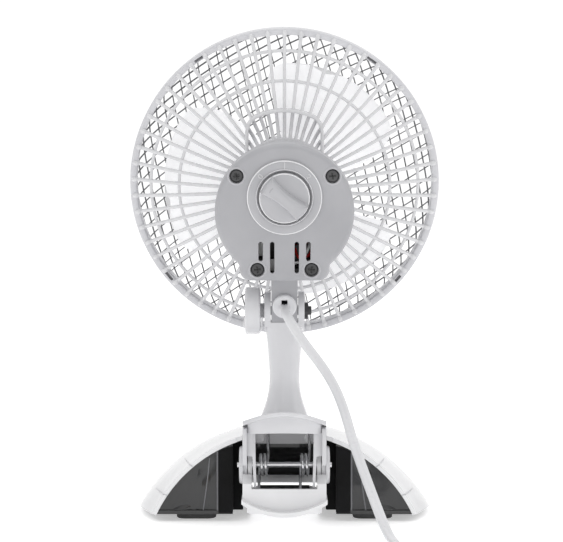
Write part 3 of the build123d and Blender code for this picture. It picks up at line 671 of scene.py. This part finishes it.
def net_point(theta, phi):
    """A point on the front guard's dome: phi is 0 at its edge and a quarter turn at its middle."""
    return clock(theta, NET_R * math.cos(phi), NET_EDGE_Y - NET_RISE * math.sin(phi))


net = Shape()
NET_SECTION = rectangle(0.56, 0.96, 0.22, 1)
NET_STEPS = 90
PHI_END = math.acos(NET_HOLE_R / NET_R)
arc = [(0.0, math.pi / 2)]
for k in range(NET_STEPS):
    a, b = (net_point(0, math.pi / 2 * (1 - (k + i) / NET_STEPS)) for i in (0, 1))
    arc.append((arc[-1][0] + (b - a).length, math.pi / 2 * (1 - (k + 1) / NET_STEPS)))
DOME_ARC = arc[-1][0]


def on_dome(u, v):
    """Wraps a flat sheet over the dome, keeping distances from the middle."""
    s = min(math.hypot(u, v), DOME_ARC)
    k = min(int(s / DOME_ARC * NET_STEPS * 0.999), NET_STEPS - 1)
    while k and arc[k][0] > s:
        k -= 1
    while k < NET_STEPS - 1 and arc[k + 1][0] < s:
        k += 1
    share = (s - arc[k][0]) / (arc[k + 1][0] - arc[k][0])
    phi = arc[k][1] + share * (arc[k + 1][1] - arc[k][1])
    return net_point(math.atan2(u, v), phi)


NET_PITCH = 6.5
HOLE = next(s for s, phi in arc if phi < PHI_END)
for lift, direction in ((0.3, math.radians(33)), (-0.3, math.radians(-77))):
    along = Vector((math.cos(direction), math.sin(direction)))
    across = Vector((-along.y, along.x))
    for k in range(-15, 16):
        offset = NET_PITCH * (k + 0.37)
        if abs(offset) > DOME_ARC - 1:
            continue
        reach = math.sqrt(DOME_ARC**2 - offset**2)
        gap = math.sqrt(max(HOLE**2 - offset**2, 0))
        for low, high in ((-reach, -gap), (gap, reach)) if gap else ((-reach, reach),):
            steps = max(int((high - low) / 3.2), 3)
            spots = [along * (low + (high - low) * i / steps) + across * offset for i in range(steps + 1)]
            line = [on_dome(spot.x, spot.y) + Vector((0, lift, 0)) for spot in spots]
            net.add(*sweep(line, NET_SECTION, lambda p: Vector((p.x, 3.0 * p.y + 15, p.z))))
net.piece("front_net", NET_SHADED, "head", "net_grey", HEAD, ("front_guard",), sharp=60)

frame_ring = Shape()
band = corners([(86.3, -6), (89.2, -6), (90, -5), (90, -0.2), (88.2, -0.2), (88.2, 2.9), (86.3, 2.9)], 0.4, 2)
frame_ring.add(*spun([(p.x, p.y) for p in band], RIM_STEPS))
hub_ring = corners([(16, -36.4), (22, -36.4), (22, -38.2), (16, -38.6)], 0.4, 2)
frame_ring.add(*spun([(p.x, p.y) for p in hub_ring], 120))
frame_ring.piece("front_rim", GUARD, "head", "guard_white", HEAD, ("front_guard",), sharp=50)

# ---- blades ----

BLADE_HALF = math.radians(41)
BLADE_STEPS = 26
ROOT_R = 16.6
TIP_R = 70.4
CORNER = 13  # how far in from the tip the corners start to round


def blade(middle):
    """A thin swept blade whose free corners are rounded."""
    loops = []
    radii = [ROOT_R + (TIP_R - ROOT_R) * (1 - (1 - k / 22) ** 1.35) for k in range(23)]
    for r in radii:
        out = (r - ROOT_R) / (TIP_R - ROOT_R)
        curl = math.sqrt(max(1 - max((r - TIP_R + CORNER) / CORNER, 0) ** 2, 0.0))
        corner = (1 - curl) * CORNER / r
        inward = max(1 - (r - 17) / 48, 0)
        first = -BLADE_HALF + corner + math.radians(8) * inward
        last = BLADE_HALF - corner + math.radians(21) * inward
        thick = 0.75 - 0.25 * out
        back, front = [], []
        for k in range(BLADE_STEPS + 1):
            share = k / BLADE_STEPS
            angle = middle + first + (last - first) * share
            along = 2 * share - 1
            y = -3.0 - 11.0 * along + 1.8 * (1 - along * along)
            edge = math.sqrt(max(1 - (2 * share - 1) ** 8, 0.0))
            back.append(clock(angle, r, y + thick * edge))
            front.append(clock(angle, r, y - thick * edge))
        loops.append(back + front[-2:0:-1])
    return skin(loops)


fan = Shape()
for k in range(3):
    fan.add(*blade(math.radians(31 + 120 * k)))
hub = [
    (2.6, -11.4), (5, -11.4), (5, -11.2), (15.9, -11.2), (15.9, 12), (17.0, 12), (17.5, 11.4),
    (17.5, -10.0), (17.1, -11.6), (15.8, -12.7), (14.2, -13.0), (2.6, -13.0),
]
fan.add(*spun(hub, 96))
boss = [(2.6, -11.3), (2.6, 11), (4.6, 11), (5, 10.6), (5, -11.3)]
fan.add(*spun(boss, 48))
fan.piece("blade_set", BLADE_GLOW, "rotor", "blade_clear", HEAD, ("fan_blade",), sharp=40)

# ---- dial and tilt knob ----

KNOB_Z = 3.5
AT_KNOB = Matrix.Translation((0, 0, KNOB_Z))
MARK_R = 17.75
COVER_SCREWS = ((-26.4, 15.2), (26.4, 15.2), (-15.0, -37.3), (15.0, -37.3))


def face_point(x, z, y):
    """A point on the rear cover: x to the right and z up as seen from behind, from the knob's middle."""
    return Vector((-x, y, z + KNOB_Z))


dial = Shape()
bezel = [
    (15.4, 74.2), (15.4, 75.3), (15.9, 75.8), (16.6, 75.95), (19.1, 75.95),
    (19.8, 75.8), (20.5, 75.1), (20.9, 74.3), (20.9, 73.6), (15.4, 73.6),
]
dial.add(*spun(bezel, 120), AT_KNOB)
dial.piece("dial_ring", DIAL, "head", "housing_grey", HEAD)

marks = Shape()
STROKE = rectangle(0.55, 0.5, 0.15, 2)


def stroke(points, closed=False):
    """Adds one raised line of a mark on the dial."""
    marks.add(*sweep([face_point(x, z, 75.98) for x, z in points], STROKE, (0, 1, 0), closed))


def turned(points, angle):
    """Places a sign drawn upright at the ring's top at a clock angle, in degrees."""
    a = math.radians(angle)
    made = []
    for x, z in points:
        up = z + MARK_R
        made.append((x * math.cos(a) + up * math.sin(a), -x * math.sin(a) + up * math.cos(a)))
    return made


nought = [(0.85 * math.cos(math.tau * k / 20), 1.3 * math.sin(math.tau * k / 20)) for k in range(20)]
stroke(turned(nought, -48), True)
stroke(turned([(0, -1.9), (0, 0), (0, 1.9)], 0))
two = [
    (-0.75, 0.55), (-0.55, 1.0), (0, 1.2), (0.55, 1.0), (0.75, 0.5), (0.5, 0.0), (-0.75, -1.15),
    (0.0, -1.15), (0.8, -1.15),
]
stroke(turned(two, 48))
marks.piece("dial_marks", FAINT, "head", "guard_white", HEAD, sharp=60)

seats = Shape()
lip = [(4.05, 73.7), (4.05, 74.1), (4.3, 74.3), (4.8, 74.3), (5.2, 74.05), (5.3, 73.7)]
for x, z in COVER_SCREWS:
    seats.add(*spun(lip, 48), Matrix.Translation((x, 0, z)))
seats.piece("screw_seats", DIAL, "head", "housing_grey", HEAD)

tilt = Shape()
TILT_KNOB_X = 18.0
profile = [
    (4.2, -6.9), (4.2, -4.2), (12.1, -4.4), (13.0, -4.1), (13.5, -3.4), (13.5, 3.2), (13.1, 4.0),
    (12.2, 4.4), (10.9, 4.3), (10.4, 3.7), (5.0, 3.6), (0.2, 3.5), (0.2, -6.9),
]
tilt_loops = []
for k in range(96):
    a = math.tau * k / 96
    tilt_loops.append([(TILT_KNOB_X + x, r * math.cos(a), PIVOT_Z + r * math.sin(a)) for r, x in profile])
tilt.add(*skin(tilt_loops, closed=True))
tilt.piece("tilt_grip", STAND_WHITE, "clamp_knob", "knob_white", STAND, ("tilt_knob",))

# ---- clip ----

GRIP_HALF = 22.7
GRIP_FRONT, GRIP_BACK = 16.4, 68.0


def lip_height(x, y):
    """The bowed top of the upper grip, rising towards the back."""
    t = (y - GRIP_FRONT) / (GRIP_BACK - GRIP_FRONT)
    middle, end = 53.6 + 10.3 * t, 50.9 + 7.3 * t
    return end + (middle - end) * (1 - (x / GRIP_HALF) ** 2)


grip = Shape()
top_loops = []
for y, thick, inset, lift in (
    (16.4, 1.6, 0.5, 0.0), (17.2, 2.2, 0, 0.0), (40, 2.2, 0, 0.0), (56, 2.2, 0, 0.0), (62, 2.3, 0, 0.25),
    (65, 2.5, 0, 0.6), (66.8, 2.6, 0.1, 0.75), (67.6, 2.0, 0.4, 0.6), (68.0, 1.0, 0.9, 0.2),
):
    half = GRIP_HALF - inset
    across = [half * math.sin(math.pi * (k / 32 - 0.5)) for k in range(33)]
    top = [(x, y, lip_height(x, y) - inset + lift * abs(x / GRIP_HALF) ** 6) for x in across]
    under = [(x, y, z - thick) for x, y, z in reversed(top[1:-1])]
    top_loops.append(top + under)
grip.add(*skin(top_loops))
collar = []
for k in range(41):
    x = 19.9 * math.sin(math.pi * (k / 40 - 0.5))
    back = 57.2 + 5.0 * math.sqrt(max(1 - abs(x / 20.1) ** 3.2, 0))
    high, low = lip_height(x, back) - 1.2, 50.7 + 0.7 * (1 - (x / 20) ** 2)
    section = [(back - 2.6, low), (back - 0.5, low), (back, low + 0.6), (back, high), (back - 2.6, high)]
    collar.append([(x, y, z) for y, z in section])
grip.add(*skin(collar))
for s in (-1, 1):
    outline = [
        (GRIP_FRONT, 40), (GRIP_FRONT, 49.4), (40, 53.6), (55.5, 54.6), (60.3, 53.6), (61.5, 50.6),
        (61.5, 33.9), (49.6, 32.4),
    ]
    for k in range(9):
        a = math.radians(-4 - 22 * k)
        outline.append((40 + 9.6 * math.cos(a), 31.2 + 9.6 * math.sin(a)))
    outline.append((30.4, 38))
    grip.add(*slab(outline, *sorted((20.35 * s, GRIP_HALF * s)), axis="x", edge=0.35))
    # The web stays 0.4 mm clear of the spring's lower leg when the jaw opens.
    web = [(20.6, 51.2), (15.8, 51.6), (15.6, 36), (15.2, 21.4), (16.6, 21.0), (17.5, 38.6), (20.6, 38.6)]
    grip.add(*slab([(s * p.x, p.y) for p in corners(web, 0.5, 2)], 56.4, 58.4, edge=0.25))
grip.add(*slab(rectangle(45, 10.6, 0.8, 2, 0, 45.2), GRIP_FRONT, 18.8))
grip.piece("grip_top", GRIP_SHADED, "base", "white_shell", STAND, ("upper_handle",), sharp=40)

# ---- base ----

# The shell's sections from the middle of the fan to its rear edge: y, half width, crown height.
STATIONS = ((-20, 79, 47.5), (4, 82.5, 51), (24, 79, 51.5), (42, 73, 51))
REAR_Y, REAR_HALF, REAR_CROWN = STATIONS[-1]
SHELL_WALL = 2.6
FLOOR_Z = 4.0


def arch_point(half, crown, t):
    """A point on the arched section: t is -1 at the left foot, 0 at the crown, 1 at the right foot."""
    rise = crown - FLOOR_Z
    radius = (half**2 + rise**2) / (2 * rise)
    sweep_angle = math.asin(min(half / radius, 1.0))
    if rise > half:
        sweep_angle = math.pi - sweep_angle
    a = t * sweep_angle
    return Vector((radius * math.sin(a), 0, crown - radius + radius * math.cos(a)))


def arch_top(x):
    """The height of the shell's outer arch at its rear edge."""
    rise = REAR_CROWN - FLOOR_Z
    radius = (REAR_HALF**2 + rise**2) / (2 * rise)
    return REAR_CROWN - radius + math.sqrt(radius**2 - x**2)


seams = Shape()
SEAM_BACK_Y = REAR_Y + 0.85
for t in (-0.86, -0.62, 0.62, 0.86):
    line = []
    for y, half, crown in STATIONS:
        p = arch_point(half, crown, t)
        line.append(Vector((p.x, SEAM_BACK_Y if y == REAR_Y else y, p.z)))
    inner = arch_point(REAR_HALF - SHELL_WALL, REAR_CROWN - SHELL_WALL, t)
    line.append(Vector((inner.x, SEAM_BACK_Y, inner.z)))
    outer = arch_point(REAR_HALF, REAR_CROWN, t)
    seams.add(*sweep(line, rectangle(0.5, 0.3, 0.12, 1), (outer.x, 30, outer.z + 20)))
seams.piece("shell_seams", SEAM, "base", "white_shell", STAND)

trim = Shape()
LIP_WIDTH = 2.5
NOTCH_HALF = 24.4  # the clip's opening in the shell
rim_line = []
for k in range(61):
    p = arch_point(REAR_HALF - LIP_WIDTH / 2, REAR_CROWN - LIP_WIDTH / 2, -1 + k / 30)
    if abs(p.x) > NOTCH_HALF:
        rim_line.append(Vector((p.x, REAR_Y + 0.1, p.z)))
for part in ([p for p in rim_line if p.x < 0], [p for p in rim_line if p.x > 0]):
    trim.add(*sweep(part, rectangle(LIP_WIDTH, 1.1, 0.5, 3), (0, 1, 0)))
trim.piece("shell_lip", SHELL, "base", "white_shell", STAND, sharp=60)

panels = Shape()
edges = Shape()
PANEL_X = 36.4  # the inner edge of a glossy panel
POST_X = 36.8
COLUMNS, ROWS = 30, 14
for s in (-1, 1):
    loops = []
    for i in range(COLUMNS + 1):
        u = i / COLUMNS
        x = PANEL_X + (REAR_HALF - 3.4 - PANEL_X) * u
        top = max(arch_top(x) - 3.4, FLOOR_Z + 1.2)
        step = 1.2 * (1 / (1 + math.exp((u - 0.36) * 60)))
        column = []
        for j in range(ROWS + 1):
            v = j / ROWS
            z = FLOOR_Z + 0.6 + (top - FLOOR_Z - 0.6) * v
            bulge = 0.9 * math.sin(math.pi * u) * math.sin(math.pi * min(v * 1.1, 1))
            foot_lift = 1.5 * math.exp(-((v - 0.05) / 0.16) ** 2) * math.exp(-((u - 0.62) / 0.24) ** 2)
            bow = 0.035 * (1 - v) * step
            column.append((s * x, 38.9 + bulge + step + bow + foot_lift, z))
        rear = [(s * x, 38.0, z) for _, _, z in reversed(column)]
        loops.append(column + rear)
    panels.add(*skin(loops))
    post = [Vector((s * POST_X, 41.0, z)) for z in (FLOOR_Z + 0.2, 12, 24, arch_top(POST_X) - 3.2)]
    edges.add(*sweep(post, rectangle(1.3, 1.6, 0.5, 3), (0, 1, 0)))
    ridge = []
    for k in range(13):
        z = FLOOR_Z + 0.6 + (34.5 - FLOOR_Z) * (1 - k / 12)
        ridge.append(Vector((s * (41.0 + 4.8 * (1 - z / 40) ** 1.4), 40.4, z)))
    edges.add(*sweep(ridge, rectangle(0.8, 1.0, 0.35, 3), (0, 1, 0)))
panels.piece("gloss_panels", BLACK, "base", "base_black", STAND, sharp=60)
edges.piece("panel_edges", EDGE_HIGHLIGHT, "base", "base_black", STAND, sharp=60)

# Matt black beside the clip, made darker and duller than the glossy panels as painted shade: the recess, and
# the wall and panel between it and the post.
recess = Shape()
for s in (-1, 1):
    recess.add(*slab(rectangle(7.4, 41.5, 0.4, 1, s * 26.7, 25.0), 27.4, 28.8))
    wall_face = [(s * x, z) for x, z in ((28.4, 4.7), (PANEL_X, 4.7), (PANEL_X, 38.7), (28.4, 42.0))]
    recess.add(*slab(corners(wall_face[::s], 0.3, 1), 38.0, REAR_Y + 0.15))
recess.piece("recess_walls", INNER_SHADE, "base", "base_black", STAND)

# ---- speed knob and what shows through the vents ----

knob = Shape()
skirt = [(0.2, 73.9), (13.9, 73.9), (14.0, 75.2), (14.0, 77.1), (13.7, 77.7), (13.0, 78.0), (0.2, 78.05)]
knob.add(*spun(skirt, 96), AT_KNOB)
KNOB_TURN = AT_KNOB @ Matrix.Rotation(math.radians(52), 4, "Y")
BAR_END = 12.6
bar_loops = []
for y, grow, ends in (
    (77.6, 0.9, 12.9), (78.2, 0.55, 12.8), (81.5, 0.15, BAR_END), (84.6, 0.0, 12.3), (85.5, -0.35, 11.9),
    (85.9, -1.0, 11.2),
):
    side = []
    for k in range(17):
        z = ends * (k / 8 - 1)
        dip = 0.5 * (1 - (z / BAR_END) ** 2) if y > 84 else 0
        side.append((3.35 + grow + 1.55 * (z / BAR_END) ** 2, y - dip, z))
    head_tip, foot_tip = [(0, y, ends + 0.55)], [(0, y, -ends - 0.55)]
    bar_loops.append(side + head_tip + [(-x, h, z) for x, h, z in reversed(side)] + foot_tip)
knob.add(*skin(bar_loops), KNOB_TURN)
knob.piece("speed_grip", KNOB_SHADED, "speed_dial", "knob_white", HEAD, ("speed_knob",), sharp=38)
pointer = Shape()
pointer_line = [(-1.5, 85.6, 9.2), (0, 85.6, 9.5), (1.5, 85.6, 9.2)]
pointer.add(*sweep(pointer_line, rectangle(0.5, 0.5, 0.15, 1), (0, 1, 0)), KNOB_TURN)
pointer.piece("grip_pointer", TONGUE, "speed_dial", "knob_white", HEAD)

# A thin bright ring on the knob's bevel: a painted highlight.
knob_rim_highlight = Shape()
knob_rim_highlight.add(*spun([(p.x, p.y) for p in circle(0.34, 10, 13.55, 77.75)], 96), AT_KNOB)
knob_rim_highlight.piece("grip_rim_highlight", WHITE_AND_HIGHLIGHT, "speed_dial", "knob_white", HEAD, sharp=80)

crosses = Shape()
for (x, z), turn in zip(COVER_SCREWS, (12, 38, 64, 21)):
    at_screw = Matrix.Translation((x, 0, z)) @ Matrix.Rotation(math.radians(turn), 4, "Y")
    for size in ((3.9, 0.8), (0.8, 3.9)):
        crosses.add(*slab(rectangle(size[0], size[1], 0.2, 1), 72.2, 73.2), at_screw)
crosses.piece("screw_crosses", WIRE, "head", "screw_dark", HEAD)

# Thin bright rings at the dial ring's two edges: painted highlights.
bead_highlights = Shape()
for r, y, size in ((20.35, 75.25, 0.38), (15.65, 75.55, 0.26)):
    bead_highlights.add(*spun([(p.x, p.y) for p in circle(size, 10, r, y)], 120), AT_KNOB)
bead_highlights.piece("dial_bead_highlights", WHITE_AND_HIGHLIGHT, "head", "guard_white", HEAD, sharp=80)


def wire(points, r=0.65):
    """A thin round wire on a smooth line through its points."""
    fine = []
    ends = [points[0], *points, points[-1]]
    for i in range(1, len(ends) - 2):
        p0, p1, p2, p3 = (Vector(p) for p in ends[i - 1 : i + 3])
        for k in range(6):
            t = k / 6
            squared, cubed = 2 * p0 - 5 * p1 + 4 * p2 - p3, 3 * p1 - p0 - 3 * p2 + p3
            fine.append(0.5 * (2 * p1 + (p2 - p0) * t + squared * t**2 + cubed * t**3))
    fine.append(Vector(points[-1]))
    return sweep(fine, circle(r, 10), (0.3, 1, 0.2))


red = Shape()
red_line = [(-6.2, 63.5, -25), (-6.4, 66.5, -29), (-8.5, 68.2, -31.6), (-13.4, 68.0, -30.2), (-15.5, 64, -27)]
red.add(*wire(red_line, 0.75))
red.piece("wires_red", RED, "head", "wire_red", HEAD, ("lead_red",), sharp=80)
pale = Shape()
pale_line = [
    (-4.5, 66.5, -36.4), (-6.4, 68.6, -34.2), (-9.5, 68.4, -33.6), (-13.4, 68.4, -25.8), (-14.0, 64, -22),
]
pale.add(*wire(pale_line, 0.8))
pale.add(*slab(rectangle(3.4, 8.0, 0.4, 1, 13.2, -27.4), 62, 64))
pale.add(*slab(rectangle(4.6, 6.4, 0.4, 1, 6.8, -36.6), 62.5, 64.5))
pale.piece("wires_pale", WHITE_AND_HIGHLIGHT, "head", "cord_white", HEAD, sharp=60)

# ---- springs: the coils and upper legs stay on the base, the lower legs go with the jaw ----

PIN = Vector((0, 40.0, 31.2))
SPRING_R = 5.6
WIRE_R = 0.8
FIRST_TURN, COIL_TURN = math.radians(235), math.radians(817.2)


def on_coil(x, share):
    """A point on the spring's coil that starts at x, by its share of the turns."""
    a = FIRST_TURN - COIL_TURN * share
    return Vector((x - 5.0 * share, 0, 0)) + PIN + SPRING_R * Vector((0, math.cos(a), math.sin(a)))


coils, legs = Shape(), Shape()
UPPER_LEG, LOWER_LEG = math.radians(48), math.radians(-35)
upper = Vector((0, math.cos(UPPER_LEG), math.sin(UPPER_LEG)))
lower = Vector((0, math.cos(LOWER_LEG), math.sin(LOWER_LEG)))
for x in (14.0, -8.7):
    line = [on_coil(x, k / 60) for k in range(61)]
    line += [line[-1] + upper * d for d in (3, 12, 20, 26.5)]
    coils.add(*sweep(line, circle(WIRE_R, 12), (1, 0, 0)))
    start = on_coil(x, 0)
    legs.add(*sweep([start + lower * d for d in (-0.6, 0.2, 8, 16, 24.3)], circle(WIRE_R, 12), (1, 0, 0)))
coils.piece("spring_coils", CHROME, "base", "spring_chrome", STAND, ("clip_springs",), sharp=80)
legs.piece("spring_legs", CHROME, "jaw", "spring_chrome", STAND, ("clip_springs",), sharp=80)

# ---- light and floor ----

world = bpy.data.worlds.new("studio")
bpy.context.scene.world = world
world.use_nodes = True
sky = world.node_tree
background = sky.nodes["Background"]
background.inputs["Color"].default_value = (1, 1, 1, 1)
where = sky.nodes.new("ShaderNodeTexCoord")
split = sky.nodes.new("ShaderNodeSeparateXYZ")
sky.links.new(where.outputs["Generated"], split.inputs["Vector"])
# Bright behind the fan and, more narrowly, behind a viewer in front of it; softer all round.
AROUND = ((0.0, 1.0), (0.03, 1.0), (0.10, 0.64), (0.5, 0.54), (0.85, 0.36), (0.95, 0.40), (0.985, 0.92))
facing = sky.nodes.new("ShaderNodeMapRange")
facing.inputs["From Min"].default_value = -1.0
sky.links.new(split.outputs["Y"], facing.inputs["Value"])
around = sky.nodes.new("ShaderNodeValToRGB")
stops = around.color_ramp.elements
while len(stops) < len(AROUND):
    stops.new(0.5)
for stop, (at, level) in zip(stops, AROUND):
    stop.position = at
    stop.color = (level, level, level, 1)
sky.links.new(facing.outputs["Result"], around.inputs["Fac"])
above = sky.nodes.new("ShaderNodeMapRange")
above.interpolation_type = "SMOOTHSTEP"
for socket, value in (("From Min", 0.25), ("From Max", 0.95), ("To Min", 0.0), ("To Max", 0.45)):
    above.inputs[socket].default_value = value
sky.links.new(split.outputs["Z"], above.inputs["Value"])
total = sky.nodes.new("ShaderNodeMath")
total.operation = "MULTIPLY_ADD"
AROUND_GAIN = 1.08
total.inputs[1].default_value = AROUND_GAIN
sky.links.new(around.outputs["Color"], total.inputs[0])
sky.links.new(above.outputs["Result"], total.inputs[2])
sky.links.new(total.outputs["Value"], background.inputs["Strength"])


def softbox(name, place, aim, size, power):
    """A rectangular light that faces its aim, in metres and watts."""
    data = bpy.data.lights.new(name, "AREA")
    data.shape = "RECTANGLE"
    data.size, data.size_y = size
    data.energy = power
    made = bpy.data.objects.new(name, data)
    made.location = place
    made.rotation_euler = (Vector(aim) - Vector(place)).to_track_quat("-Z", "Y").to_euler()
    bpy.context.scene.collection.objects.link(made)


softbox("overhead", (0, 0.1, 1.5), (0, 0.1, 0), (1.4, 1.4), 3.0)
softbox("key", (0.75, 0.95, 0.75), (0, 0, 0.15), (0.35, 0.6), 0.8)
softbox("edge", (-0.9, 0.35, 0.35), (0, 0, 0.15), (0.2, 0.7), 0.5)

FLOOR_HALF = 4000
floor_corners = [(a * FLOOR_HALF, b * FLOOR_HALF, 0) for a, b in ((-1, -1), (1, -1), (1, 1), (-1, 1))]
sheet = Shape().add(floor_corners, [(0, 1, 2, 3)])
FLOOR = material(
    "floor_pale", grey(0.88, 0.0), grey(0.90, 0.0), (0.7, 0.8), 0.02, Emission_Strength=0.42,
    Emission_Color=(1.0, 1.0, 1.0, 1.0),
)
floor = sheet.piece("floor", FLOOR, None, None, Matrix.Translation((0, 0, -0.02)))
